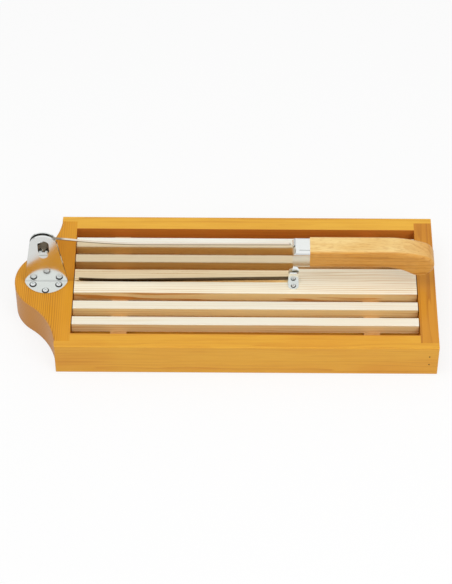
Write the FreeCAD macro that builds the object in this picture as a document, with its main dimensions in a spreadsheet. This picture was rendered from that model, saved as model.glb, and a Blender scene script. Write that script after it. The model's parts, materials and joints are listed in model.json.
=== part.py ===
import FreeCAD, Part
import math
import os
from types import SimpleNamespace

# Bread guillotine slicer: a wooden frame with a slatted bed over a crumb tray, and a long blade
# that swings on a pin between two steel cheeks. The pin also rides up and down in their slots.
# +X runs from the round nose to the handle, +Z is up, and the origin is on the table under the
# middle of the whole length. All sizes are in millimetres.

SIZES = {
    # frame and crumb tray
    "rail_length": 420, "nose_reach": 49, "frame_depth": 194, "frame_height": 44,
    "rail_thick": 19, "lip_thick": 8, "end_rail_thick": 20, "nose_seat": 16.7,
    "nose_round": 45, "edge_ease": 1.5, "under_ease": 0.8,
    "panel_thick": 4, "panel_lift": 4, "groove_depth": 5, "panel_gap": 0.1, "panel_end_gap": 0.5,
    "ledge_width": 10, "ledge_lift": 1.5, "ledge_gap": 0.5,
    # slatted bed and its saw kerf
    "slat_width": 11.5, "slat_height": 12.5, "slat_gap": 11.5, "centre_width": 37, "bed_drop": 0.1,
    "bed_gap": 1, "slat_ease": 0.6, "batten_width": 18, "batten_height": 11.5, "batten_inset": 51,
    "batten_end_gap": 1, "kerf_play": 0.6, "kerf_depth": 5, "kerf_length": 240, "saw_radius": 100,
    # tenons and brads
    "tenon_in_nose": 14, "tenon_in_lip": 5, "tenon_height": 14, "tenon_thick": 4,
    "brad_wide": 1.8, "brad_thick": 1.4, "rail_brad_length": 30, "rail_brad_low": 17,
    "rail_brad_high": 30, "ledge_brad_length": 20, "ledge_brad_inset": 40, "bed_brad_length": 20,
    "centre_brad_offset": 11,
    # pivot pin
    "pin_from_nose": 35.5, "pin_above_top": 51, "pin_radius": 5, "pin_reach": 6, "pin_travel": 11,
    "journal_radius": 4, "journal_play": 0.05, "shoulder_play": 0.1,
    "stud_radius": 2.5, "stud_length": 7, "pin_slot_width": 1.6, "pin_slot_depth": 1.4,
    # cheeks
    "cheek_thick": 2, "cheek_play": 0.2, "cheek_base": 47.2, "cheek_round": 15, "cheek_over_slot": 7.6,
    "cheek_bend": 0.6, "cheek_neck": 4, "slot_width": 12.4, "slot_play": 0.1,
    "foot_reach": 18, "foot_straight": 1.6,
    "cheek_screw_side": 14.35, "cheek_screw_near": 5.5, "cheek_screw_margin": 3.7,
    "cheek_head_radius": 4.1, "cheek_head_crown": 2.3, "cheek_head_rise": 2.4,
    "cheek_shank_radius": 1.9, "cheek_shank_length": 16,
    # guide at the blade's heel
    "guide_past_kerf": 4.2, "guide_width": 11.6, "guide_thick": 1.2, "guide_play": 0.4,
    "guide_ear": 15.5, "guide_flare": 5, "guide_flare_angle": 35, "guide_foot": 9.6,
    "guide_corner": 4.2, "guide_screw_out": 5.2,
    "guide_head_radius": 2.9, "guide_head_crown": 1.6, "guide_head_rise": 1.7,
    "guide_shank_radius": 1.4, "guide_shank_length": 9,
    # blade, from its pivot eye to its heel: places from the pin, heights from the frame's top face
    "blade_thick": 2.6, "edge_land": 0.3, "bevel_height": 7,
    "tang_radius": 9.5, "tang_step": 1.5, "tang_flank_angle": 29, "tang_crown": 12,
    "butt_gap": 0.15, "butt_start": 19.5, "butt_end": 30.6, "butt_corner": 4,
    "edge_start": 36, "plunge_height": 12, "belly_at": 93, "belly_height": -2.5,
    "belly_radius": 560, "heel_past_kerf": 1.3, "heel_height": 2.4, "heel_rake": 3.5,
    "spine_setback": 2.5, "spine_over_stick": 7, "spine_bend": 105, "spine_bend_height": 60.8,
    "spine_radius": 620, "spine_rise_at": 25, "spine_rise_height": 67.4,
    "crown_at": 11, "crown_height": 69,
    # stick tang, ferrule and handle
    "stick_low": 43, "stick_height": 12, "stick_length": 83,
    "ferrule_overlap": 2.6, "ferrule_length": 19, "ferrule_width": 24, "ferrule_under": 8.4,
    "ferrule_over": 5.4, "ferrule_nose": 8, "ferrule_edge": 4.5, "slot_fit": 0.05,
    "handle_width": 25, "handle_under": 7, "handle_over": 6.6, "handle_end_round": 16,
    "handle_knob_at": 121.1, "handle_end_rise": 2.7, "handle_top_round": 110,
    "handle_hollow": 57.5, "handle_edge": 4, "handle_stick_gap": 1,
}
same_place = 0.01  # places nearer than this are one place


class Size:
    """A length that knows its number and the sheet expression that gives it."""

    def __init__(self, number, text):
        self.number = float(number)
        self.text = text

    def join(self, other, sign, number):
        text = other.text if isinstance(other, Size) else repr(other)
        return Size(number, "(%s %s %s)" % (self.text, sign, text))

    def __add__(self, other):
        return self.join(other, "+", self.number + amount(other))

    def __sub__(self, other):
        return self.join(other, "-", self.number - amount(other))

    def __mul__(self, other):
        return self.join(other, "*", self.number * amount(other))

    def __truediv__(self, other):
        return self.join(other, "/", self.number / amount(other))

    def __neg__(self):
        return Size(-self.number, "(-1 * %s)" % self.text)


def amount(value):
    return value.number if isinstance(value, Size) else float(value)


def root(value):
    return Size(math.sqrt(value.number), "sqrt(%s)" % value.text)


def cosine(degrees):
    return Size(math.cos(math.radians(degrees.number)), "cos(%s * 1deg)" % degrees.text)


def sine(degrees):
    return Size(math.sin(math.radians(degrees.number)), "sin(%s * 1deg)" % degrees.text)


def arc_sine(ratio):
    return Size(math.degrees(math.asin(ratio.number)), "(asin(%s) / 1deg)" % ratio.text)


doc = FreeCAD.newDocument("bread_slicer")
sheet = doc.addObject("Spreadsheet::Sheet", "Sizes")
for row, (alias, value) in enumerate(SIZES.items(), 1):
    sheet.set("A%d" % row, alias)
    sheet.set("B%d" % row, str(value))
    sheet.setAlias("B%d" % row, alias)
doc.recompute()
s = SimpleNamespace(**{name: Size(value, "Sizes." + name) for name, value in SIZES.items()})
zero = s.rail_length * 0
nodes = {}


def bind(thing, prop, value):
    """Tie one property to the sheet."""
    thing.setExpression(prop, value.text)


def place(thing, x=None, y=None, z=None):
    """Tie the position of an object to the sheet."""
    for letter, value in (("x", x), ("y", y), ("z", z)):
        if value is not None:
            bind(thing, "Placement.Base." + letter, value)


def origin_plane(body, role):
    return [plane for plane in body.Origin.OriginFeatures if plane.Role == role][0]


def arc_through(start, end, radius, turn):
    """The minor arc from start to end; turn is +1 where it bends left and -1 where it bends right."""
    ax, ay, bx, by = start[0], start[1], end[0], end[1]
    half = math.hypot(bx - ax, by - ay) / 2
    rise = math.sqrt(max(radius * radius - half * half, 0))
    cx = (ax + bx) / 2 - turn * rise * (by - ay) / (2 * half)
    cy = (ay + by) / 2 + turn * rise * (bx - ax) / (2 * half)
    first = math.atan2(ay - cy, ax - cx)
    last = math.atan2(by - cy, bx - cx)
    circle = Part.Circle(FreeCAD.Vector(cx, cy, 0), FreeCAD.Vector(0, 0, 1), radius)
    if turn < 0:
        return Part.ArcOfCircle(circle, last, first)
    return Part.ArcOfCircle(circle, first, last)


def outline(sketch, corners, arcs):
    """Draw a closed outline through corners. arcs maps a corner's index to the (radius, turn) of
    the arc that leaves it, and every other side is straight. Each corner is tied to the sheet."""
    from Sketcher import Constraint
    spots = [(amount(x), amount(y)) for x, y in corners]
    count = len(corners)
    ends = []
    for index in range(count):
        start, end = spots[index], spots[(index + 1) % count]
        if index in arcs:
            radius, turn = arcs[index]
            sketch.addGeometry(arc_through(start, end, amount(radius), turn), False)
            ends.append((1, 2) if turn > 0 else (2, 1))
        else:
            sketch.addGeometry(Part.LineSegment(FreeCAD.Vector(*start, 0), FreeCAD.Vector(*end, 0)), False)
            ends.append((1, 2))
    for index in range(count):
        after = (index + 1) % count
        sketch.addConstraint(Constraint("Coincident", index, ends[index][1], after, ends[after][0]))
    for index, corner in enumerate(corners):
        for kind, value in (("DistanceX", corner[0]), ("DistanceY", corner[1])):
            number = sketch.addConstraint(Constraint(kind, -1, 1, index, ends[index][0], amount(value)))
            if isinstance(value, Size):
                sketch.setExpression("Constraints[%d]" % number, value.text)
    for index, (radius, turn) in arcs.items():
        number = sketch.addConstraint(Constraint("Radius", index, amount(radius)))
        sketch.setExpression("Constraints[%d]" % number, radius.text)


def draw(body, name, role, corners, arcs=None, lift=None):
    """A closed sketch on one of the body's own planes, lifted along the plane's normal."""
    sketch = body.newObject("Sketcher::SketchObject", name)
    sketch.AttachmentSupport = [(origin_plane(body, role), "")]
    sketch.MapMode = "FlatFace"
    if lift is not None:
        bind(sketch, "AttachmentOffset.Base.z", lift)
    outline(sketch, corners, arcs or {})
    return sketch


def grow(body, sketch, length, centred=False):
    pad = body.newObject("PartDesign::Pad", sketch.Name + "_pad")
    pad.Profile = sketch
    bind(pad, "Length", length)
    pad.Midplane = centred
    doc.recompute()
    return pad


def sink(body, sketch, length, centred=False, reverse=True):
    pocket = body.newObject("PartDesign::Pocket", sketch.Name + "_pocket")
    pocket.Profile = sketch
    bind(pocket, "Length", length)
    pocket.Midplane = centred
    pocket.Reversed = reverse
    doc.recompute()
    return pocket


def new_body(name):
    body = doc.addObject("PartDesign::Body", name)
    body.Label = name
    return body


def rectangle(low_x, high_x, low_y, high_y):
    return [(low_x, low_y), (high_x, low_y), (high_x, high_y), (low_x, high_y)]


def board(name, low_x, high_x, low_y, high_y, bottom, height):
    """A straight piece of wood."""
    body = new_body(name)
    grow(body, draw(body, name + "_plan", "XY_Plane", rectangle(low_x, high_x, low_y, high_y)), height)
    place(body, z=bottom)
    return body


def ease(body, size, wanted, kind="Fillet"):
    """Round, or chamfer, the edges of the body that wanted picks."""
    last = body.Tip
    picked = ["Edge%d" % (i + 1) for i, edge in enumerate(last.Shape.Edges) if wanted(edge)]
    feature = body.newObject("PartDesign::" + kind, "%s_%s" % (body.Name, kind.lower()))
    feature.Base = (last, picked)
    bind(feature, "Radius" if kind == "Fillet" else "Size", size)
    doc.recompute()
    return feature


def bundle(name, things):
    """Like fasteners as separate solids under one name."""
    group = doc.addObject("Part::Compound", name)
    group.Links = things
    group.Label = name
    return group


def cut(name, base, tools):
    """The base less its tools, such as the holes of the fasteners that pass through it."""
    result = doc.addObject("Part::Cut", name + "_cut")
    result.Base = base
    result.Tool = bundle(name + "_tools", tools)
    result.Label = name
    return result


def round_bar(name, radius, length, x, y, z, along="z"):
    """A round bar that starts at x, y, z and runs along one axis."""
    bar = doc.addObject("Part::Cylinder", name)
    bind(bar, "Radius", radius)
    bind(bar, "Height", length)
    axis = {"x": FreeCAD.Vector(1, 0, 0), "y": FreeCAD.Vector(0, 1, 0), "z": FreeCAD.Vector(0, 0, 1)}[along]
    bar.Placement.Rotation = FreeCAD.Rotation(FreeCAD.Vector(0, 0, 1), axis)
    place(bar, x, y, z)
    return bar


def square_bar(name, size, x, y, z):
    """A straight bar of rectangular section, its lowest corner at x, y, z."""
    bar = doc.addObject("Part::Box", name)
    for prop, value in zip(("Length", "Width", "Height"), size):
        bind(bar, prop, value)
    place(bar, x, y, z)
    return bar


def fuse(name, things):
    joined = doc.addObject("Part::MultiFuse", name)
    joined.Shapes = things
    return joined


def raised_screw(name, x, y, seat, head_radius, crown_radius, head_rise, shank_radius, shank_length):
    """A raised-head screw whose head stands on seat, with a plain six-sided core for its thread."""
    head = doc.addObject("Part::Cone", name + "_head")
    bind(head, "Radius1", head_radius)
    bind(head, "Radius2", crown_radius)
    bind(head, "Height", head_rise)
    place(head, x, y, seat)
    shank = doc.addObject("Part::Prism", name + "_shank")
    shank.Polygon = 6
    bind(shank, "Circumradius", shank_radius)
    bind(shank, "Height", shank_length)
    place(shank, x, y, seat - shank_length)
    return fuse(name, [head, shank])


# Places that several pieces share
left = -(s.rail_length + s.nose_reach) / 2 + s.nose_reach
right = (s.rail_length + s.nose_reach) / 2
outer = s.frame_depth / 2
inner = outer - s.rail_thick
lip = outer - s.lip_thick
groove_y = inner + s.groove_depth
top = s.frame_height
bay_left = left + s.nose_seat
bay_right = right - s.end_rail_thick
pin_x = left - s.nose_reach + s.pin_from_nose
pin_z = top + s.pin_above_top
bed_top = top - s.bed_drop
bed_bottom = bed_top - s.slat_height
bed_left = bay_left + s.bed_gap
bed_right = bay_right - s.bed_gap
batten_bottom = bed_bottom - s.batten_height
ledge_bottom = s.panel_lift + s.panel_thick + s.ledge_lift
ledge_height = batten_bottom - ledge_bottom
kerf_end = bed_left + s.kerf_length
blade_half = s.blade_thick / 2
cheek_near = blade_half + s.cheek_play
cheek_face = cheek_near + s.cheek_thick
guide_near = blade_half + s.guide_play
heel_at = kerf_end - pin_x + s.heel_past_kerf
heel_top_at = heel_at + s.heel_rake
stick_high = s.stick_low + s.stick_height
ferrule_start = pin_x + heel_top_at - s.ferrule_overlap
ferrule_end = ferrule_start + s.ferrule_length

# The ogee: a round nose that runs tangent into a hollow ending square to the rail's outer face
nose_centre = left - s.nose_reach + s.nose_round
offset = nose_centre - left
hollow = (outer * outer + offset * offset - s.nose_round * s.nose_round) / ((s.nose_round - offset) * 2)
hollow_centre = left - hollow
share = s.nose_round / (s.nose_round + hollow)
meet_x = nose_centre + (hollow_centre - nose_centre) * share
meet_y = outer * share
hollow_at_lip = hollow_centre + root(hollow * hollow - s.lip_thick * s.lip_thick)


def driven_in(name, side, size, length, x, z, start):
    """A brad or a tenon that runs along Y from start towards the middle of the frame. size holds
    its X and Z measures, and x, z the middle of its section."""
    low = start if side < 0 else start - length
    return square_bar(name, (size[0], length, size[1]), x - size[0] / 2, low, z - size[1] / 2)


brad = (s.brad_thick, s.brad_wide)


def make_rail_brads():
    return [driven_in("rail_brad_%d_%d" % (side + 1, level), side, brad, s.rail_brad_length,
                      right - s.end_rail_thick / 2, height, outer * side)
            for side in (-1, 1) for level, height in enumerate((s.rail_brad_low, s.rail_brad_high))]


def make_tenons():
    """Loose tenons between the rails' lips and the nose board."""
    return [driven_in("tenon_%d" % (side + 1), side, (s.tenon_thick, s.tenon_height),
                      s.tenon_in_nose + s.tenon_in_lip, left + s.nose_seat / 2, top / 2,
                      (lip + s.tenon_in_lip) * side)
            for side in (-1, 1)]


def make_ledge_brads():
    """Brads through the ledges into the rails, driven from inside the tray."""
    middle = (bay_left + bay_right) / 2
    spots = (bay_left + s.ledge_brad_inset, middle, bay_right - s.ledge_brad_inset)
    level = batten_bottom - ledge_height / 2
    brads = []
    for side in (-1, 1):
        for index, x in enumerate(spots):
            start = (inner - s.ledge_width) * side
            low = start if side > 0 else start - s.ledge_brad_length
            brads.append(square_bar("ledge_brad_%d_%d" % (side + 1, index),
                                    (s.brad_thick, s.ledge_brad_length, s.brad_wide),
                                    x - s.brad_thick / 2, low, level - s.brad_wide / 2))
    return brads


def make_rail(name, side, holes):
    """A rail with a rabbet at each end, a groove for the panel, and its nose end cut to the ogee."""
    out, mid, inn = outer * side, lip * side, inner * side
    corners = [(left, out), (right, out), (right, mid), (bay_right, mid), (bay_right, inn),
               (bay_left, inn), (bay_left, mid), (hollow_at_lip, mid)]
    body = new_body(name + "_blank")
    grow(body, draw(body, name + "_plan", "XY_Plane", corners, {7: (hollow, -side)}), s.frame_height)
    deep = groove_y * side
    low_y, high_y = (deep, inn) if side < 0 else (inn, deep)
    groove = draw(body, name + "_groove", "XY_Plane", rectangle(bay_left, bay_right, low_y, high_y),
                  lift=s.panel_lift - s.panel_gap)
    sink(body, groove, s.panel_thick + s.panel_gap * 2)
    face = amount(out)

    def outer_edge(edge):
        box = edge.BoundBox
        return abs(box.YMin - face) < same_place and abs(box.YMax - face) < same_place

    ease(body, s.edge_ease, outer_edge)
    return cut(name, body, holes)


def make_nose(tenons, screws):
    corners = [(bay_left, -lip), (bay_left, lip), (hollow_at_lip, lip), (meet_x, meet_y),
               (nose_centre - s.nose_round, zero), (meet_x, -meet_y), (hollow_at_lip, -lip)]
    arcs = {2: (hollow, -1), 3: (s.nose_round, 1), 4: (s.nose_round, 1), 5: (hollow, -1)}
    body = new_body("nose_board_blank")
    grow(body, draw(body, "nose_plan", "XY_Plane", corners, arcs), s.frame_height)
    groove = draw(body, "nose_groove", "XY_Plane",
                  rectangle(bay_left - s.groove_depth, bay_left, -groove_y, groove_y),
                  lift=s.panel_lift - s.panel_gap)
    sink(body, groove, s.panel_thick + s.panel_gap * 2)

    def curve_at(level):
        def wanted(edge):
            box = edge.BoundBox
            flat = box.ZLength < same_place and abs(box.ZMin - level) < same_place
            return flat and edge.Curve.TypeId == "Part::GeomCircle"
        return wanted

    ease(body, s.edge_ease, curve_at(amount(top)), "Chamfer")
    ease(body, s.under_ease, curve_at(0), "Chamfer")
    return cut("nose_board", body, tenons + screws)


def make_end_rail(brads):
    body = board("end_rail_blank", bay_right, right, -lip, lip, zero, s.frame_height)
    groove = draw(body, "end_rail_groove", "XY_Plane",
                  rectangle(bay_right, bay_right + s.groove_depth, -groove_y, groove_y),
                  lift=s.panel_lift - s.panel_gap)
    sink(body, groove, s.panel_thick + s.panel_gap * 2)
    return cut("end_rail", body, brads)


def make_panel():
    reach = s.groove_depth - s.panel_end_gap
    return board("bottom_panel", bay_left - reach, bay_right + reach, -inner - reach, inner + reach,
                 s.panel_lift, s.panel_thick)


def make_ledge(name, side, brads):
    low, high = (-inner, s.ledge_width - inner) if side < 0 else (inner - s.ledge_width, inner)
    body = board(name + "_blank", bay_left + s.ledge_gap, bay_right - s.ledge_gap, low, high,
                 ledge_bottom, ledge_height)
    return cut(name, body, brads)


# The slats stand beside the centre board at one pitch
first_slat = (s.centre_width + s.slat_width) / 2 + s.slat_gap
second_slat = first_slat + s.slat_width + s.slat_gap
slat_rows = {
    "slat_front_outer": -second_slat,
    "slat_front_inner": -first_slat,
    "slat_back_inner": first_slat,
    "slat_back_outer": second_slat,
}
batten_rows = {"batten_left": bed_left + s.batten_inset, "batten_right": bed_right - s.batten_inset}


def make_bed_brads():
    """Brads up through the battens, one to a slat and two to the centre board."""
    rows = list(slat_rows.values()) + [-s.centre_brad_offset, s.centre_brad_offset]
    size = (s.brad_thick, s.brad_wide, s.bed_brad_length)
    return [square_bar("bed_brad_%d_%d" % (across, along), size,
                       x - s.brad_thick / 2, y - s.brad_wide / 2, batten_bottom)
            for across, x in enumerate(batten_rows.values()) for along, y in enumerate(rows)]


def make_slat(name, y, brads):
    body = board(name + "_blank", bed_left, bed_right, y - s.slat_width / 2, y + s.slat_width / 2,
                 bed_bottom, s.slat_height)
    upper = body.Tip.Shape.BoundBox.ZMax

    def long_top_edge(edge):
        box = edge.BoundBox
        return box.YLength < same_place and abs(box.ZMin - upper) < same_place

    ease(body, s.slat_ease, long_top_edge)
    return cut(name, body, brads)


def make_centre_board(fasteners):
    """The cutting board, with a saw kerf whose ends run out in the saw's own radius."""
    half = s.centre_width / 2
    body = board("centre_board_blank", bed_left, bed_right, -half, half, bed_bottom, s.slat_height)
    run = root(s.saw_radius * s.saw_radius - (s.saw_radius - s.kerf_depth) * (s.saw_radius - s.kerf_depth))
    floor = s.slat_height - s.kerf_depth
    corners = [(bed_left, s.slat_height), (bed_left + run, floor), (kerf_end - run, floor),
               (kerf_end, s.slat_height)]
    arcs = {0: (s.saw_radius, 1), 2: (s.saw_radius, 1)}
    kerf = draw(body, "kerf_side", "XZ_Plane", corners, arcs)
    sink(body, kerf, s.blade_thick + s.kerf_play * 2, centred=True)
    return cut("centre_board", body, fasteners)


def make_batten(name, x, brads):
    half = s.batten_width / 2
    reach = inner - s.batten_end_gap
    body = board(name + "_blank", x - half, x + half, -reach, reach, batten_bottom, s.batten_height)
    return cut(name, body, brads)


def make_cheek_screws(side):
    spots = [(-s.cheek_screw_side, s.cheek_screw_near), (s.cheek_screw_side, s.cheek_screw_near),
             (zero, s.foot_reach - s.cheek_screw_margin)]
    screws = []
    for index, (along, out) in enumerate(spots):
        screws.append(raised_screw("cheek_screw_%d_%d" % (side + 1, index), pin_x + along,
                                   (cheek_face + out) * side, top + s.cheek_thick,
                                   s.cheek_head_radius, s.cheek_head_crown, s.cheek_head_rise,
                                   s.cheek_shank_radius, s.cheek_shank_length + s.cheek_thick))
    return screws


def make_cheek(name, side, screws):
    """An upright plate that tapers to a round top, with an oblong slot, bent into a half-round foot."""
    half = s.cheek_base / 2
    slot_low = s.pin_above_top - s.pin_radius - s.slot_play
    slot_high = s.pin_above_top + s.pin_travel + s.pin_radius + s.slot_play
    tip_z = slot_high + s.cheek_over_slot
    crown = tip_z - s.cheek_round
    rise = crown - s.cheek_neck
    # The straight flank above the neck is tangent to the round top
    reach = root(rise * rise + half * half)
    lean = arc_sine(half / reach) - arc_sine(s.cheek_round / reach)
    touch_x = s.cheek_round * cosine(lean)
    touch_z = crown + s.cheek_round * sine(lean)
    body = new_body(name + "_blank")
    corners = [(pin_x - half, zero), (pin_x + half, zero), (pin_x + half, s.cheek_neck),
               (pin_x + touch_x, touch_z), (pin_x, tip_z), (pin_x - touch_x, touch_z),
               (pin_x - half, s.cheek_neck)]
    arcs = {3: (s.cheek_round, 1), 4: (s.cheek_round, 1)}
    # A sketch on the XZ plane has its normal along -Y
    lift = cheek_near if side < 0 else -cheek_face
    plate = draw(body, name + "_plate", "XZ_Plane", corners, arcs, lift=lift)
    grow(body, plate, s.cheek_thick)
    depth = s.foot_reach - s.foot_straight
    foot_round = (depth * depth + half * half) / (depth * 2)
    near_y, far_y = cheek_near * side, (cheek_face + s.foot_straight) * side
    tip_y = (cheek_face + s.foot_reach) * side
    plan = [(pin_x + half, near_y), (pin_x - half, near_y), (pin_x - half, far_y), (pin_x, tip_y),
            (pin_x + half, far_y)]
    foot = draw(body, name + "_foot", "XY_Plane", plan, {2: (foot_round, -side), 3: (foot_round, -side)})
    grow(body, foot, s.cheek_thick)
    r = s.slot_width / 2
    slot = [(pin_x - r, slot_low + r), (pin_x, slot_low), (pin_x + r, slot_low + r),
            (pin_x + r, slot_high - r), (pin_x, slot_high), (pin_x - r, slot_high - r)]
    bends = {0: (r, 1), 1: (r, 1), 3: (r, 1), 4: (r, 1)}
    sink(body, draw(body, name + "_slot", "XZ_Plane", slot, bends), cheek_face * 3, centred=True)
    place(body, z=top)
    face = amount(cheek_face) * side
    step = amount(s.cheek_thick)

    def inner_bend(edge):
        box = edge.BoundBox
        level = box.ZLength < same_place and abs(box.ZMin - step) < same_place
        return level and abs(box.YMin - face) < same_place and abs(box.YMax - face) < same_place

    ease(body, s.cheek_bend, inner_bend)
    return cut(name, body, screws)


def make_guide_screws():
    screws = []
    for side in (-1, 1):
        y = (guide_near + s.guide_thick + s.guide_screw_out) * side
        screws.append(raised_screw("guide_screw_%d" % (side + 1), kerf_end + s.guide_past_kerf, y,
                                   bed_top + s.guide_thick, s.guide_head_radius, s.guide_head_crown,
                                   s.guide_head_rise, s.guide_shank_radius,
                                   s.guide_shank_length + s.guide_thick))
    return screws


def make_guide(name, side, screws):
    """A small angle bracket: a round-ended foot, an upright ear and a flared, round-cornered top."""
    inside = guide_near
    t = s.guide_thick
    lean_y = s.guide_flare * sine(s.guide_flare_angle)
    lean_z = s.guide_flare * cosine(s.guide_flare_angle)
    thick_y = t * cosine(s.guide_flare_angle)
    thick_z = t * sine(s.guide_flare_angle)
    foot_end = inside + t + s.guide_foot
    # The strip seen from its end: foot, ear and flare
    side_view = [(inside, zero), (foot_end, zero), (foot_end, t), (inside + t, t),
                 (inside + t, s.guide_ear),
                 (inside + lean_y + thick_y, s.guide_ear + lean_z - thick_z),
                 (inside + lean_y, s.guide_ear + lean_z), (inside, s.guide_ear)]
    x = kerf_end + s.guide_past_kerf
    body = new_body(name + "_blank")
    if side < 0:
        side_view = [(-y, z) for y, z in side_view]
    strip = draw(body, name + "_strip", "YZ_Plane", side_view, lift=x - s.guide_width / 2)
    grow(body, strip, s.guide_width)
    place(body, z=bed_top)
    end_y = amount(foot_end) * side
    tip_y = amount(inside + lean_y) * side
    tip_z = amount(s.guide_ear + lean_z)

    def corner(edge):
        box = edge.BoundBox
        at_foot = abs(box.YMin - end_y) < same_place and abs(box.YMax - end_y) < same_place
        reaches_tip = min(abs(box.YMin - tip_y), abs(box.YMax - tip_y)) < same_place
        at_top = reaches_tip and abs(box.ZMax - tip_z) < same_place and box.ZLength < amount(t)
        return (at_foot or at_top) and box.XLength < same_place

    ease(body, s.guide_corner, corner)
    return cut(name, body, screws)


def make_pin():
    """The pivot pin in two halves that screw together, with a journal between two shoulders."""
    shoulder = blade_half + s.shoulder_play
    reach = cheek_face + s.pin_reach - shoulder
    barrel_end = round_bar("barrel_end", s.pin_radius, reach, pin_x, shoulder, pin_z, along="y")
    journal = round_bar("barrel_journal", s.journal_radius, shoulder * 2, pin_x, -shoulder, pin_z,
                        along="y")
    stud_hole = round_bar("barrel_hole", s.stud_radius, s.stud_length, pin_x, -shoulder, pin_z, along="y")
    barrel = doc.addObject("Part::Cut", "pivot_barrel_raw")
    barrel.Base = fuse("barrel_solid", [barrel_end, journal])
    barrel.Tool = stud_hole
    head = round_bar("screw_end", s.pin_radius, reach, pin_x, -shoulder - reach, pin_z, along="y")
    stud = round_bar("screw_stud", s.stud_radius, s.stud_length, pin_x, -shoulder, pin_z, along="y")
    slot = doc.addObject("Part::Box", "screw_slot")
    bind(slot, "Length", s.pin_radius * 3)
    bind(slot, "Width", s.pin_slot_depth * 2)
    bind(slot, "Height", s.pin_slot_width)
    place(slot, pin_x - s.pin_radius * 1.5, -shoulder - reach - s.pin_slot_depth,
          pin_z - s.pin_slot_width / 2)
    screw = doc.addObject("Part::Cut", "pivot_screw_raw")
    screw.Base = fuse("screw_solid", [head, stud])
    screw.Tool = slot
    barrel.Label = "pivot_barrel"
    screw.Label = "pivot_screw"
    return barrel, screw


def bevel_blade(body):
    """Grind both faces down to the cutting edge over the bevel's height."""
    edge_to = amount(pin_x + heel_at) + same_place
    ceiling = amount(top + s.heel_height) + same_place
    last = body.Tip
    picked = []
    for index, edge in enumerate(last.Shape.Edges):
        low_x, high_x = sorted(vertex.X for vertex in edge.Vertexes)
        high_z = max(vertex.Z for vertex in edge.Vertexes)
        if high_x - low_x > same_place and high_x < edge_to and high_z < ceiling:
            picked.append("Edge%d" % (index + 1))
    bevel = body.newObject("PartDesign::Chamfer", "blade_bevel")
    bevel.Base = (last, picked)
    bevel.ChamferType = "Two distances"
    bind(bevel, "Size", blade_half - s.edge_land / 2)
    bind(bevel, "Size2", s.bevel_height)
    doc.recompute()
    return bevel


def make_blade():
    """The blade with its pivot end, its butt that lands on the nose board, and its stick tang."""

    def spot(along, above):
        return (pin_x + along, top + above)

    eye = s.tang_radius
    step_z = s.pin_above_top + root(eye * eye - s.tang_step * s.tang_step)
    flank_x = -eye * cosine(s.tang_flank_angle)
    flank_z = s.pin_above_top - eye * sine(s.tang_flank_angle)
    # The belly's arc is tangent to the straight part of the edge
    run, climb = heel_at - s.belly_at, s.heel_height - s.belly_height
    straight = root(run * run + climb * climb)
    arc_x = s.belly_at - s.belly_radius * climb / straight
    arc_z = s.belly_height + s.belly_radius * run / straight
    back = arc_x - s.edge_start
    tip = arc_z - root(s.belly_radius * s.belly_radius - back * back)
    corners = [
        spot(s.edge_start, tip),
        spot(s.belly_at, s.belly_height),
        spot(heel_at, s.heel_height),
        spot(heel_top_at, s.stick_low),
        spot(heel_top_at + s.stick_length, s.stick_low),
        spot(heel_top_at + s.stick_length, stick_high),
        spot(heel_top_at, stick_high),
        spot(heel_at - s.spine_setback, stick_high + s.spine_over_stick),
        spot(s.spine_bend, s.spine_bend_height),
        spot(s.spine_rise_at, s.spine_rise_height),
        spot(s.crown_at, s.crown_height),
        spot(-s.tang_step, step_z),
        spot(flank_x, flank_z),
        spot(s.edge_start, s.plunge_height),
    ]
    arcs = {0: (s.belly_radius, 1), 8: (s.spine_radius, -1), 10: (s.tang_crown, 1), 11: (eye, 1)}
    body = new_body("blade")
    side = draw(body, "blade_side", "XZ_Plane", corners, arcs)
    grow(body, side, s.blade_thick, centred=True)
    bevel_blade(body)
    butt = [spot(s.butt_start, s.butt_gap), spot(s.butt_end, s.butt_gap), corners[0], corners[-1],
            corners[-2], spot(s.butt_start - s.butt_corner, s.butt_gap + s.butt_corner)]
    grow(body, draw(body, "blade_butt", "XZ_Plane", butt), s.blade_thick, centred=True)
    eye_hole = body.newObject("Sketcher::SketchObject", "blade_eye")
    eye_hole.AttachmentSupport = [(origin_plane(body, "XZ_Plane"), "")]
    eye_hole.MapMode = "FlatFace"
    from Sketcher import Constraint
    bore = s.journal_radius + s.journal_play
    centre = FreeCAD.Vector(amount(pin_x), amount(pin_z), 0)
    eye_hole.addGeometry(Part.Circle(centre, FreeCAD.Vector(0, 0, 1), amount(bore)), False)
    for kind, value in (("DistanceX", pin_x), ("DistanceY", pin_z)):
        number = eye_hole.addConstraint(Constraint(kind, -1, 1, 0, 3, amount(value)))
        eye_hole.setExpression("Constraints[%d]" % number, value.text)
    number = eye_hole.addConstraint(Constraint("Radius", 0, amount(bore)))
    eye_hole.setExpression("Constraints[%d]" % number, bore.text)
    sink(body, eye_hole, s.blade_thick * 3, centred=True)
    return body


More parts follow.
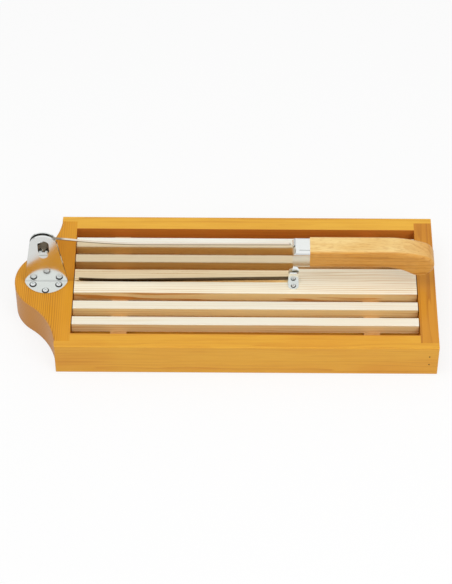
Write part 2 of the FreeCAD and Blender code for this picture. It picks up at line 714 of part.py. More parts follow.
def make_ferrule():
    """A bolster with rounded long edges whose slot takes the blade's end and its stick tang."""
    start, end = ferrule_start, ferrule_end
    low, high = top + s.stick_low - s.ferrule_under, top + stick_high + s.ferrule_over
    r = s.ferrule_nose
    corners = [(start + r, low), (end, low), (end, high), (start + r, high), (start, high - r),
               (start, low + r)]
    side = new_body("ferrule_side")
    grow(side, draw(side, "ferrule_side_view", "XZ_Plane", corners, {3: (r, 1), 5: (r, 1)}),
         s.ferrule_width, centred=True)
    half = s.ferrule_width / 2
    e = s.ferrule_edge
    section = [(e - half, low), (half - e, low), (half, low + e), (half, high - e), (half - e, high),
               (e - half, high), (-half, high - e), (-half, low + e)]
    along = new_body("ferrule_section")
    grow(along, draw(along, "ferrule_end_view", "YZ_Plane", section,
                     {1: (e, 1), 3: (e, 1), 5: (e, 1), 7: (e, 1)}, lift=start), s.ferrule_length)
    solid = doc.addObject("Part::Common", "ferrule_solid")
    solid.Base = side
    solid.Tool = along
    wide = s.blade_thick + s.slot_fit * 2
    mouth = square_bar("ferrule_slot", (s.ferrule_overlap + s.slot_fit, wide, high - low),
                       start, -wide / 2, low)
    bore = square_bar("ferrule_bore", (s.ferrule_length, wide, s.stick_height + s.slot_fit * 2),
                      start, -wide / 2, top + s.stick_low - s.slot_fit)
    return cut("ferrule", solid, [mouth, bore])


def make_handle():
    """A square-sectioned grip with rounded edges that droops and swells at its end."""
    start = ferrule_end
    low, high = top + s.stick_low - s.handle_under, top + stick_high + s.handle_over
    end_x, end_z = start + s.handle_knob_at, low + s.handle_end_rise
    knob, big, hollow_under = s.handle_end_round, s.handle_top_round, s.handle_hollow
    drop = end_z - (high - big)
    across = root((big - knob) * (big - knob) - drop * drop)
    crest_x = end_x - across
    reach = big / (big - knob)
    touch_x, touch_z = crest_x + across * reach, high - big + drop * reach
    fall = end_z - (low - hollow_under)
    under = root((hollow_under + knob) * (hollow_under + knob) - fall * fall)
    under_x = end_x - under
    part_way = hollow_under / (hollow_under + knob)
    low_x, low_z = under_x + under * part_way, low - hollow_under + fall * part_way
    corners = [(start, low), (under_x, low), (low_x, low_z), (end_x, end_z - knob), (end_x + knob, end_z),
               (touch_x, touch_z), (crest_x, high), (start, high)]
    arcs = {1: (hollow_under, -1), 2: (knob, 1), 3: (knob, 1), 4: (knob, 1), 5: (big, 1)}
    body = new_body("handle")
    grow(body, draw(body, "handle_side", "XZ_Plane", corners, arcs), s.handle_width, centred=True)
    half = amount(s.handle_width) / 2
    first = amount(start)

    def rim(edge):
        box = edge.BoundBox
        on_side = box.YLength < same_place and abs(abs(box.YMin) - half) < same_place
        return on_side and box.XMax > first + same_place

    ease(body, s.handle_edge, rim)
    wide = s.blade_thick + s.slot_fit * 2
    stick_end = pin_x + heel_top_at + s.stick_length + s.handle_stick_gap
    bore = rectangle(start - knob, stick_end, top + s.stick_low - s.slot_fit, top + stick_high + s.slot_fit)
    sink(body, draw(body, "handle_bore", "XZ_Plane", bore), wide, centred=True)
    return body


rail_brads = make_rail_brads()
tenons = make_tenons()
ledge_brads = make_ledge_brads()
bed_brads = make_bed_brads()
front_screws = make_cheek_screws(-1)
back_screws = make_cheek_screws(1)
guide_screws = make_guide_screws()

rail_fasteners = rail_brads + tenons + ledge_brads
nodes["front_rail"] = make_rail("front_rail", -1, rail_fasteners)
nodes["back_rail"] = make_rail("back_rail", 1, rail_fasteners)
nodes["nose_board"] = make_nose(tenons, front_screws + back_screws)
nodes["end_rail"] = make_end_rail(rail_brads)
nodes["bottom_panel"] = make_panel()
nodes["front_ledge"] = make_ledge("front_ledge", -1, ledge_brads)
nodes["back_ledge"] = make_ledge("back_ledge", 1, ledge_brads)
nodes["rail_brads"] = bundle("rail_brads", rail_brads)
nodes["nose_tenons"] = bundle("nose_tenons", tenons)
nodes["ledge_brads"] = bundle("ledge_brads", ledge_brads)
for name, y in slat_rows.items():
    nodes[name] = make_slat(name, y, bed_brads)
nodes["centre_board"] = make_centre_board(bed_brads + guide_screws)
for name, x in batten_rows.items():
    nodes[name] = make_batten(name, x, bed_brads)
nodes["bed_brads"] = bundle("bed_brads", bed_brads)
nodes["front_cheek"] = make_cheek("front_cheek", -1, front_screws)
nodes["rear_cheek"] = make_cheek("rear_cheek", 1, back_screws)
nodes["cheek_screws"] = bundle("cheek_screws", front_screws + back_screws)
nodes["front_guide"] = make_guide("front_guide", -1, guide_screws)
nodes["rear_guide"] = make_guide("rear_guide", 1, guide_screws)
nodes["guide_screws"] = bundle("guide_screws", guide_screws)
nodes["pivot_barrel"], nodes["pivot_screw"] = make_pin()
nodes["blade"] = make_blade()
nodes["ferrule"] = make_ferrule()
nodes["handle"] = make_handle()

doc.recompute()
failed = [item.Name for item in doc.Objects if "Invalid" in item.State or "Error" in item.State]
if failed:
    raise RuntimeError("these objects failed: " + ", ".join(failed))
for name, item in nodes.items():
    if item.Shape.isNull() or not item.Shape.isValid() or not item.Shape.Solids:
        raise RuntimeError(name + " has no valid shape")
os.makedirs("parts", exist_ok=True)
for name, item in nodes.items():
    item.Shape.exportStep("parts/%s.step" % name)
    box = item.Shape.BoundBox
    print("%-18s %2d solid(s) %10.0f mm3  x %7.1f %7.1f  y %6.1f %6.1f  z %6.1f %6.1f" % (
        name, len(item.Shape.Solids), item.Shape.Volume, box.XMin, box.XMax, box.YMin, box.YMax,
        box.ZMin, box.ZMax))
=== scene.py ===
import bpy
import json
import math
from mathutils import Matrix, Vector


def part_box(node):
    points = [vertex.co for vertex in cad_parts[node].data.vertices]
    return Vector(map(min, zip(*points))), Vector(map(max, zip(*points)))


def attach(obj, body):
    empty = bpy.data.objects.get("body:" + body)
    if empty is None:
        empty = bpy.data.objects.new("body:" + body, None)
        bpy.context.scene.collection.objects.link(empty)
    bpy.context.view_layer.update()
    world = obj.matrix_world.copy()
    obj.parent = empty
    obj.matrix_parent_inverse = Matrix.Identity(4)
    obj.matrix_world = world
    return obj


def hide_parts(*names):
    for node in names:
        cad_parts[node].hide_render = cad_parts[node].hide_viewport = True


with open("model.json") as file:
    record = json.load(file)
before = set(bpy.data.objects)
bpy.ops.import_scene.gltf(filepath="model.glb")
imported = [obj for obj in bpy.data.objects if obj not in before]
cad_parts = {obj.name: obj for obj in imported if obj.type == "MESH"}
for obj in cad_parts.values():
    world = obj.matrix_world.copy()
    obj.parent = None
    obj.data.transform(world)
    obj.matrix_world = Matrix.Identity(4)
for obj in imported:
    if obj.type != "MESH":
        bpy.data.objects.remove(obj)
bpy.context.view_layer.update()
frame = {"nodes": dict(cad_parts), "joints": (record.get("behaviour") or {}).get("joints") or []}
nodes = frame["nodes"]
print("frame loaded:", len(nodes), "nodes")


# 0-255 screen values to the linear colour that renders as them
def tone(red, green, blue):
    parts = [value / 255 for value in (red, green, blue)]
    return tuple(p / 12.92 if p <= 0.04045 else ((p + 0.055) / 1.055) ** 2.4 for p in parts) + (1.0,)


# a node's output that takes part in sums: each operator adds its Math node
class Wire:
    def __init__(self, graph, socket):
        self.graph = graph
        self.socket = socket

    # another output of the same node
    def other(self, name):
        return Wire(self.graph, self.socket.node.outputs[name])

    def sum(self, operation, first, second=None, clamp=False):
        made = self.graph.tree.nodes.new("ShaderNodeMath")
        made.operation = operation
        made.use_clamp = clamp
        for index, value in enumerate((first, second)):
            if value is not None:
                self.graph.join(value, made.inputs[index])
        return Wire(self.graph, made.outputs[0])

    def __add__(self, other):
        return self.sum("ADD", self, other)

    def __radd__(self, other):
        return self.sum("ADD", other, self)

    def __sub__(self, other):
        return self.sum("SUBTRACT", self, other)

    def __rsub__(self, other):
        return self.sum("SUBTRACT", other, self)

    def __mul__(self, other):
        return self.sum("MULTIPLY", self, other)

    def __rmul__(self, other):
        return self.sum("MULTIPLY", other, self)

    def __truediv__(self, other):
        return self.sum("DIVIDE", self, other)

    def size(self):
        return self.sum("ABSOLUTE", self)

    def fraction(self):
        return self.sum("FRACT", self)

    def least(self, other):
        return self.sum("MINIMUM", self, other)

    # kept between 0 and 1
    def held(self):
        return self.sum("ADD", self, 0.0, clamp=True)

    # 0 below start, 1 above end, straight between them
    def step(self, start, end):
        return ((self - start) * (1 / (end - start))).held()


# a node tree under construction: a material, the world, or the screws
class Graph:
    def __init__(self, tree, owner=None):
        self.tree = tree
        self.owner = owner
        tree.nodes.clear()

    # a wire is linked to the socket, and a plain value is set on it
    def join(self, value, socket):
        if isinstance(value, Wire):
            self.tree.links.new(value.socket, socket)
        else:
            socket.default_value = value

    # any kind of node: its settings come first, then the values or wires of its sockets
    def node(self, kind, settings=None, sockets=None, out=0):
        made = self.tree.nodes.new(kind)
        for key, value in (settings or {}).items():
            if key == "stops":
                self.setStops(made.color_ramp, value)
            else:
                setattr(made, key, value)
        for key, value in (sockets or {}).items():
            for part in value if isinstance(value, list) else [value]:
                self.join(part, made.inputs[key])
        return Wire(self, made.outputs[out] if len(made.outputs) else None)

    # each stop of a ramp is its place and how bright it is there
    def setStops(self, ramp, stops):
        while len(ramp.elements) < len(stops):
            ramp.elements.new(0.5)
        for element, (place, bright) in zip(ramp.elements, stops):
            element.position = place
            element.color = (bright, bright, bright, 1)

    def vector(self, operation, first, second=None, out="Vector"):
        values = {0: first} if second is None else {0: first, 1: second}
        return self.node("ShaderNodeVectorMath", {"operation": operation}, values, out)

    def length(self, vector):
        return self.vector("LENGTH", vector, out="Value")

    def triple(self, x, y, z):
        return self.node("ShaderNodeCombineXYZ", {}, {"X": x, "Y": y, "Z": z})

    def axes(self, vector):
        made = self.node("ShaderNodeSeparateXYZ", {}, {"Vector": vector})
        return [made.other(axis) for axis in "XYZ"]

    # sockets 0, 6 and 7 and output 2 are those that a Mix node shows for colours
    def blend(self, share, first, second):
        return self.node("ShaderNodeMix", {"data_type": "RGBA"}, {0: share, 6: first, 7: second}, out=2)

    def noise(self, place, scale, detail=2.0, rough=0.5, out=0):
        return self.node("ShaderNodeTexNoise", {}, {"Vector": place, "Scale": scale, "Detail": detail,
                                                    "Roughness": rough}, out)

    def finish(self, sockets):
        surface = self.node("ShaderNodeBsdfPrincipled", {}, sockets)
        self.node("ShaderNodeOutputMaterial", {}, {"Surface": surface})
        return self.owner


def newMaterial(name):
    owner = bpy.data.materials.new(name)
    owner.use_nodes = True
    return Graph(owner.node_tree, owner)


def addObject(name, data):
    made = bpy.data.objects.new(name, data)
    bpy.context.collection.objects.link(made)
    return made


grainTurns = {"x": (0, 0, 0), "y": (0, 0, math.pi / 2), "z": (0, math.pi / 2, 0)}
noiseMiddle = 0.5  # what a noise node gives on average


# growth rings round a pith line that runs along the grain, with fibres and pores; the side mask picks a
# piece's sides, which get a painted copy of the wood: painted shade where it is darker, and painted bounce
# light on the pale slats, where it is lighter and oranger
def woodMaterial(name, look, grain, pith, seed, flank):
    g = newMaterial(name)
    spot = g.node("ShaderNodeTexCoord", out="Object")
    turned = g.node("ShaderNodeMapping", {"vector_type": "TEXTURE"},
                    {"Vector": spot, "Location": pith, "Rotation": grainTurns[grain]})
    shifted = g.vector("ADD", turned, (seed, seed * look["seedSlant"], 0))
    stretched = g.vector("MULTIPLY", shifted, (look["stretch"], 1, 1))

    # the rings go by the distance from the pith, and sway as the trunk grew
    sway = g.vector("SUBTRACT", g.noise(stretched, look["swayScale"], out="Color"), (noiseMiddle,) * 3)
    moved = g.vector("ADD", turned, g.vector("MULTIPLY", sway, (look["sway"],) * 3))
    wander = g.noise(stretched, look["wanderScale"], detail=1.0) - noiseMiddle
    radius = g.length(g.vector("MULTIPLY", moved, (0, 1, 1))) + wander * look["wander"]
    across = (radius / look["ringGap"]).fraction()
    late = g.node("ShaderNodeValToRGB", {"stops": look["ringShape"]}, {0: across})

    fibre = g.noise(g.vector("MULTIPLY", shifted, (look["fibreLong"], 1, 1)), look["fibreScale"],
                    look["fibreDetail"], look["fibreRough"])
    broad = g.noise(stretched, look["broadScale"])
    cloud = g.noise(g.vector("MULTIPLY", shifted, (look["cloudLong"], 1, 1)), look["cloudScale"])
    fade = g.noise(stretched, look["fadeScale"]).step(look["fadeFrom"], look["fadeTo"])
    strength = late * (look["fadeLeast"] + look["fadeGain"] * fade)
    strength = strength * (look["broadLeast"] + look["broadGain"] * broad) * look["lateStrength"]

    patchy = ((cloud - look["patchFrom"]) * look["patchStrength"]).held()
    colour = g.blend(patchy, look["early"], look["patch"])
    lateColour = look["late"]
    # painted shade on a piece's sides, and painted bounce light on the slats' sides
    if flank:
        where = flank(*g.axes(spot))
        colour = g.blend(where * look["flankShare"], colour, look["flank"])
        lateColour = g.blend(where, look["late"], look["flankLate"])
        strength = strength * (1 + where * look["flankContrast"])
    colour = g.blend(strength.held(), colour, lateColour)
    fibrous = ((fibre - look["fibreFrom"]) * look["fibreStrength"]).held()
    colour = g.blend(fibrous, colour, look["fibre"])
    height = fibre * look["fibreBump"] + late * look["ringBump"]
    if "pore" in look:
        pore = g.noise(g.vector("MULTIPLY", shifted, (look["poreLong"], 1, 1)), look["poreScale"], detail=1.0)
        fleck = pore.step(look["poreFrom"], look["poreTo"])
        colour = g.blend(fleck * look["poreStrength"], colour, look["pore"])
        height = height - fleck * look["poreBump"]
    bump = g.node("ShaderNodeBump", {}, {"Strength": look["bump"], "Distance": look["bumpDepth"],
                                         "Height": height})
    return g.finish({
        "Base Color": colour, "Roughness": look["rough"] + look["roughSpread"] * fibre, "Normal": bump,
        "Coat Weight": look["coat"], "Coat Roughness": look["coatRough"], "Specular IOR Level": look["gloss"],
    })


# polished metal with faint lines along one direction; the mask picks where dark is painted in for shade and
# dark reflections, with a rougher finish there
def steelMaterial(name, look, lines, paintedShade):
    g = newMaterial(name)
    spot = g.node("ShaderNodeTexCoord", out="Object")
    turned = g.node("ShaderNodeMapping", {}, {"Vector": spot, "Rotation": grainTurns[lines]})
    line = g.noise(g.vector("MULTIPLY", turned, (look["lineLong"], 1, 1)), look["lineScale"], detail=3.0)
    cloud = g.noise(turned, look["cloudScale"])
    colour = g.blend((cloud * look["cloud"]).held(), look["tint"], look["shade"])
    rough = look["rough"] + look["roughSpread"] * (line + cloud)
    if paintedShade:
        where = paintedShade(*g.axes(spot))
        # painted shade and dark reflections: the colour turns dark where the mask is
        colour = g.blend(where, colour, g.blend(line, look["shadeDark"], look["shadePale"]))
        rough = rough + where * look["maskRough"]
    bump = g.node("ShaderNodeBump", {}, {"Strength": look["bump"], "Distance": look["bumpDepth"],
                                         "Height": line})
    return g.finish({"Base Color": colour, "Metallic": 1.0, "Normal": bump, "Roughness": rough})


# the looks: gaps, ways and depths are in metres, scales are repeats in a metre, and what ends in Long,
# like stretch, draws a pattern out along the grain or the lines
honeyLook = {
    "early": tone(222, 164, 52), "late": tone(184, 106, 22), "patch": tone(208, 134, 34),
    "fibre": tone(204, 134, 36), "stretch": 0.06, "seedSlant": 0.37,
    "swayScale": 20.0, "sway": 0.010, "ringGap": 0.0036, "wanderScale": 150.0, "wander": 0.0075,
    "ringShape": ((0.0, 0.0), (0.5, 0.08), (0.82, 0.75), (0.93, 1.0), (1.0, 0.0)), "lateStrength": 0.36,
    "fadeScale": 90.0, "fadeFrom": 0.36, "fadeTo": 0.66, "fadeLeast": 0.15, "fadeGain": 1.1,
    "broadScale": 30.0, "broadLeast": 0.4, "broadGain": 1.2,
    "cloudScale": 26.0, "cloudLong": 0.3, "patchFrom": 0.42, "patchStrength": 1.8,
    "fibreLong": 0.03, "fibreScale": 1500.0, "fibreDetail": 4.0, "fibreRough": 0.6,
    "fibreFrom": 0.45, "fibreStrength": 1.5, "fibreBump": 0.35,
    "ringBump": 0.3, "bump": 0.10, "bumpDepth": 0.0004, "rough": 0.46, "roughSpread": 0.14,
    "coat": 0.25, "coatRough": 0.16, "gloss": 0.22,
}
railLook = dict(honeyLook, **{
    # painted shade: a redder colour on the shaded inner wall of the tray
    "flank": tone(200, 112, 46), "flankLate": tone(168, 84, 30), "flankShare": 0.85, "flankContrast": 0.2,
})
backLook = dict(railLook, **{
    "early": tone(232, 178, 62), "patch": tone(220, 158, 46), "fibre": tone(212, 148, 40),
})
noseLook = dict(honeyLook, **{
    "early": tone(218, 152, 34), "late": tone(156, 88, 12), "patch": tone(206, 134, 24),
    "fibre": tone(198, 128, 28), "fibreStrength": 0.8, "ringGap": 0.0021, "sway": 0.006, "wander": 0.0018,
    "lateStrength": 0.72, "fadeScale": 30.0,
    # painted shade on the nose board's rounded sides
    "flank": tone(194, 132, 62), "flankLate": tone(172, 110, 50), "flankShare": 0.8, "flankContrast": -0.7,
})
endLook = dict(noseLook, **{
    "early": tone(206, 140, 40), "late": tone(158, 88, 16), "patch": tone(182, 106, 22),
    "patchStrength": 2.2, "ringGap": 0.0030, "lateStrength": 0.5, "fadeScale": 90.0,
    "sway": 0.016, "swayScale": 30.0, "wander": 0.006,
})
paleLook = dict(honeyLook, **{
    "early": tone(236, 231, 214), "late": tone(216, 186, 140), "patch": tone(238, 226, 196),
    "fibre": tone(232, 216, 184), "swayScale": 12.0, "sway": 0.006, "ringGap": 0.0024, "wander": 0.004,
    "fibreScale": 2400.0, "lateStrength": 0.40, "patchStrength": 1.0, "fibreStrength": 0.5,
    "bump": 0.14, "rough": 0.56, "coat": 0.0, "coatRough": 0.3, "gloss": 0.3,
    # painted bounce light: the sides between the slats are lighter and oranger than the top
    "flank": tone(252, 224, 160), "flankLate": tone(228, 172, 98), "flankShare": 1.0, "flankContrast": 1.2,
})
whiteLook = dict(paleLook, **{"early": tone(244, 244, 234), "patch": tone(240, 234, 216)})
boardLook = dict(paleLook, **{
    "early": tone(252, 245, 224), "patch": tone(248, 236, 206), "late": tone(206, 166, 108),
    "fibre": tone(240, 222, 180), "ringGap": 0.0027, "sway": 0.010, "wander": 0.005, "lateStrength": 0.8,
    # the rings' colour on the centre board's sides with painted bounce light
    "flankLate": tone(214, 146, 66),
})
battenLook = dict(paleLook, **{
    "early": tone(206, 160, 100), "late": tone(170, 116, 60), "patch": tone(196, 146, 84),
    "fibre": tone(186, 138, 80),
})
beechLook = dict(honeyLook, **{
    "early": tone(238, 207, 140), "late": tone(212, 164, 90), "patch": tone(222, 176, 98),
    "fibre": tone(220, 174, 98), "swayScale": 16.0, "sway": 0.004, "ringGap": 0.0042, "lateStrength": 0.32,
    "patchStrength": 2.4, "cloudScale": 60.0, "fibreStrength": 2.2, "bump": 0.12,
    "rough": 0.42, "coat": 0.3, "coatRough": 0.2,
    "pore": tone(184, 120, 50), "poreStrength": 0.34, "poreLong": 0.13, "poreScale": 900.0,
    "poreFrom": 0.55, "poreTo": 0.63, "poreBump": 0.4,
    # painted shade: the handle's sides and end are darker and more saturated than its top
    "flank": tone(208, 141, 44), "flankLate": tone(172, 102, 24), "flankShare": 0.86, "flankContrast": 1.8,
})
steelLook = {
    "tint": (0.87, 0.89, 0.87, 1), "shade": (0.76, 0.78, 0.77, 1), "cloudScale": 60.0, "cloud": 0.6,
    "lineLong": 0.05, "lineScale": 1500.0, "bump": 0.05, "bumpDepth": 0.0002,
    "rough": 0.11, "roughSpread": 0.05,
}
bladeLook = dict(steelLook, **{
    "tint": (0.80, 0.72, 0.60, 1), "shade": (0.72, 0.63, 0.50, 1), "bump": 0.02, "rough": 0.03,
    # painted shade and dark reflection colours for the blade's ground strip, spine line and tang
    "roughSpread": 0.02, "shadeDark": (0.075, 0.055, 0.035, 1), "shadePale": (0.15, 0.11, 0.07, 1),
    "maskRough": 0.22,
})
cheekLook = dict(steelLook, **{
    # painted shade colours for the cheeks' inner faces and folds, and for the screw heads' rims
    "shadeDark": (0.05, 0.05, 0.05, 1), "shadePale": (0.09, 0.09, 0.085, 1), "maskRough": 0.3,
})
headLook = dict(cheekLook, **{
    "tint": (0.93, 0.95, 0.95, 1), "shade": (0.84, 0.87, 0.88, 1), "rough": 0.16,
})
bradLook = dict(steelLook, **{
    "tint": tone(96, 70, 40), "shade": tone(70, 48, 26), "rough": 0.45, "roughSpread": 0.1,
})


def dress(node, material):
    mesh = nodes[node].data
    mesh.materials.clear()
    mesh.materials.append(material)


def middle(node):
    low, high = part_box(node)
    return [(a + b) / 2 for a, b in zip(low, high)]


# where a piece's sides with painted shade begin or end and where they are full, in metres from one of its
# faces
sides = {
    "slatFrom": 0.00024, "slatTo": 0.00096,  # under the eased top edge
    "ogeeFrom": 0.0012, "ogeeTo": 0.0024,  # under the nose board's rounded edge
    "wallFull": 0.0001, "wallEnds": 0.0006,  # behind a rail's inner face
    "flatFrom": 0.0027, "flatTo": 0.0007,  # inside the handle's flat sides
    "endFrom": 0.0455, "endTo": 0.0055, "endShare": 0.8,  # before the handle's drooping end
}


# the sides under a slat's eased top edge, which get painted bounce light
def belowTop(node):
    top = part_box(node)[1][2]
    return lambda x, y, z: (top - z).step(sides["slatFrom"], sides["slatTo"])


# the nose board's rounded sides, which get painted shade
def belowOgee(node):
    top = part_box(node)[1][2]
    return lambda x, y, z: (top - z).step(sides["ogeeFrom"], sides["ogeeTo"])


# painted shade on the wall of the tray, a rail's inner face
def insideRail(node):
    face = min(abs(corner[1]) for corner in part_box(node))
    return lambda x, y, z: 1 - y.size().step(face + sides["wallFull"], face + sides["wallEnds"])


# painted shade on the handle's two flat sides, and on all of its drooping end
def besideHandle(node):
    end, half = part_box(node)[1][:2]

    def mask(x, y, z):
        flats = y.size().step(half - sides["flatFrom"], half - sides["flatTo"])
        droop = x.step(end - sides["endFrom"], end - sides["endTo"])
        return (flats + droop * sides["endShare"]).held()
    return mask


# how each board was sawn: its finish, its grain's direction, where the pith lies from its middle in metres,
# a number that shifts its figure, and where its sides get painted shade
boards = {
    "front_rail": (railLook, "x", (0, 0.060, -0.060), 0.3, insideRail),
    "back_rail": (backLook, "x", (0, -0.060, -0.075), 1.7, insideRail),
    "nose_board": (noseLook, "y", (0.130, 0, -0.040), 2.9, belowOgee),
    "end_rail": (endLook, "y", (-0.035, 0, -0.050), 4.1, None),
    "bottom_panel": (honeyLook, "x", (0, 0.03, -0.110), 5.3, None),
    "front_ledge": (battenLook, "x", (0, 0.02, -0.05), 6.7, None),
    "back_ledge": (battenLook, "x", (0, 0.02, -0.05), 7.9, None),
    "slat_front_outer": (paleLook, "x", (0, 0.050, -0.045), 0.9, belowTop),
    "slat_front_inner": (paleLook, "x", (0, -0.052, -0.038), 2.3, belowTop),
    "slat_back_inner": (paleLook, "x", (0, 0.055, -0.050), 3.3, belowTop),
    "slat_back_outer": (whiteLook, "x", (0, -0.058, -0.042), 4.7, belowTop),
    "centre_board": (boardLook, "x", (0, 0.082, -0.022), 5.9, belowTop),
    "batten_left": (battenLook, "y", (0.01, 0, -0.04), 6.1, None),
    "batten_right": (battenLook, "y", (0.01, 0, -0.04), 7.3, None),
    "nose_tenons": (paleLook, "y", (0, 0, -0.01), 8.1, None),
    "handle": (beechLook, "x", (0, 0.03, -0.045), 9.7, besideHandle),
}
for node, (look, grain, away, seed, flank) in boards.items():
    pith = tuple(a + b for a, b in zip(middle(node), away))
    dress(node, woodMaterial("wood_" + node, look, grain, pith, seed, flank and flank(node)))
print("wood dressed:", len(boards), "pieces")

pin = next(joint["pos_m"] for joint in frame["joints"] if joint["name"] == "blade_swing")


# how far a point is from an axis that runs along Y
def fromAxis(across, up):
    g = across.graph
    return g.length(g.triple(across, 0.0, up))


# two lines along the blade, each straight towards the handle and an arc towards the pin, then where dark is
# painted:
# the ground strip along the edge, rougher and with a painted dark reflection of the shaded slot, a painted
# shadow line under the spine's corner, and painted shade on the tang round the pin between the cheeks
blade = {
    "edge": {"turnX": -0.106, "turnZ": 0.0415, "slope": 0.0273, "arcSlope": 0.0273, "arcRadius": 0.560},
    "spine": {"turnX": -0.094, "turnZ": 0.1048, "slope": 0.00727, "arcSlope": -0.0178, "arcRadius": 0.620},
    "stripHeight": 0.0070, "stripBlur": 0.0004, "stripStart": -0.163, "startBlur": 0.001,
    "lineFrom": 0.0002, "lineTo": 0.0010, "lineBlur": 0.0003, "lineShare": 0.7,
    "tangRadius": 0.0175, "tangBlur": 0.002, "tangShare": 0.92,
}


# a line's height at x: an arc so wide is near enough to a parabola
def bladeLine(x, line):
    along = x - line["turnX"]
    before = along.least(0.0)
    straight = (along - before) * line["slope"] + before * line["arcSlope"]
    return straight + before * before * (0.5 / line["arcRadius"]) + line["turnZ"]


def paintedShadeBlade(x, y, z):
    # painted dark reflection on the ground strip, which is also rougher
    strip = (bladeLine(x, blade["edge"]) + blade["stripHeight"] - z).step(0.0, blade["stripBlur"])
    strip = strip * x.step(blade["stripStart"], blade["stripStart"] + blade["startBlur"])
    # painted shadow line under the spine's corner
    under = bladeLine(x, blade["spine"]) - z
    line = under.step(0.0, blade["lineFrom"])
    line = line * (1 - under.step(blade["lineTo"], blade["lineTo"] + blade["lineBlur"]))
    # painted shade on the tang between the cheeks
    tang = (blade["tangRadius"] - fromAxis(x - pin[0], z - pin[2])).step(0.0, blade["tangBlur"])
    return (strip + tang * blade["tangShare"] + line * blade["lineShare"]).held()


# the cheeks get painted shade on their inner faces, most of all round the crown's centre, and a little
# painted shade in the folds of their feet, which dims the fold's highlight
cheek = {
    "sheet": 0.002, "crownRadius": 0.015,
    "innerFull": 0.0003, "innerEnds": 0.0009, "darkRadius": 0.0120, "darkBlur": 0.0008, "restShare": 0.35,
    "foldOut": 0.0005, "foldFull": 0.0004, "foldEnds": 0.0010, "foldLow": 0.0008, "foldHigh": 0.0016,
    "foldShare": 0.15,
}
cheekLow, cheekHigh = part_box("front_cheek")
cheekFace = -cheekHigh[1]  # from the blade's middle to either cheek
cheekSeat = cheekLow[2] + cheek["sheet"]
crownZ = cheekHigh[2] - cheek["crownRadius"]


def paintedShadeCheek(x, y, z):
    inner = 1 - y.size().step(cheekFace + cheek["innerFull"], cheekFace + cheek["innerEnds"])
    crown = (cheek["darkRadius"] - fromAxis(x - pin[0], z - crownZ)).step(0.0, cheek["darkBlur"])
    inner = inner * (cheek["restShare"] + (1 - cheek["restShare"]) * crown)
    foldY = cheekFace + cheek["sheet"] + cheek["foldOut"]
    fold = 1 - (y.size() - foldY).size().step(cheek["foldFull"], cheek["foldEnds"])
    fold = fold * (1 - z.step(cheekSeat + cheek["foldLow"], cheekSeat + cheek["foldHigh"]))
    return (inner + fold * cheek["foldShare"]).held()


# each metal's finish, the direction of its lines, where it gets painted shade, and the pieces that have it
metals = {
    "polished_steel": (steelLook, "z", None,
                       ("front_guide", "rear_guide", "ferrule", "pivot_barrel", "pivot_screw")),
    "cheek_steel": (cheekLook, "z", paintedShadeCheek, ("front_cheek", "rear_cheek")),
    "mirror_steel": (bladeLook, "x", paintedShadeBlade, ("blade",)),
    "plain_brad": (bradLook, "z", None, ("rail_brads", "ledge_brads", "bed_brads")),
}
for name, (look, lines, paintedShade, pieces) in metals.items():
    metal = steelMaterial(name, look, lines, paintedShade)
    for node in pieces:
        dress(node, metal)
print("metal dressed")

screwInputs = ("Head Radius", "Head Rise", "Shank Radius", "Shank Length", "Recess Length", "Recess Width",
               "Recess Depth")
screwMesh = {"segments": 40, "rings": 24, "shankSides": 16, "crispAngle": 0.5}


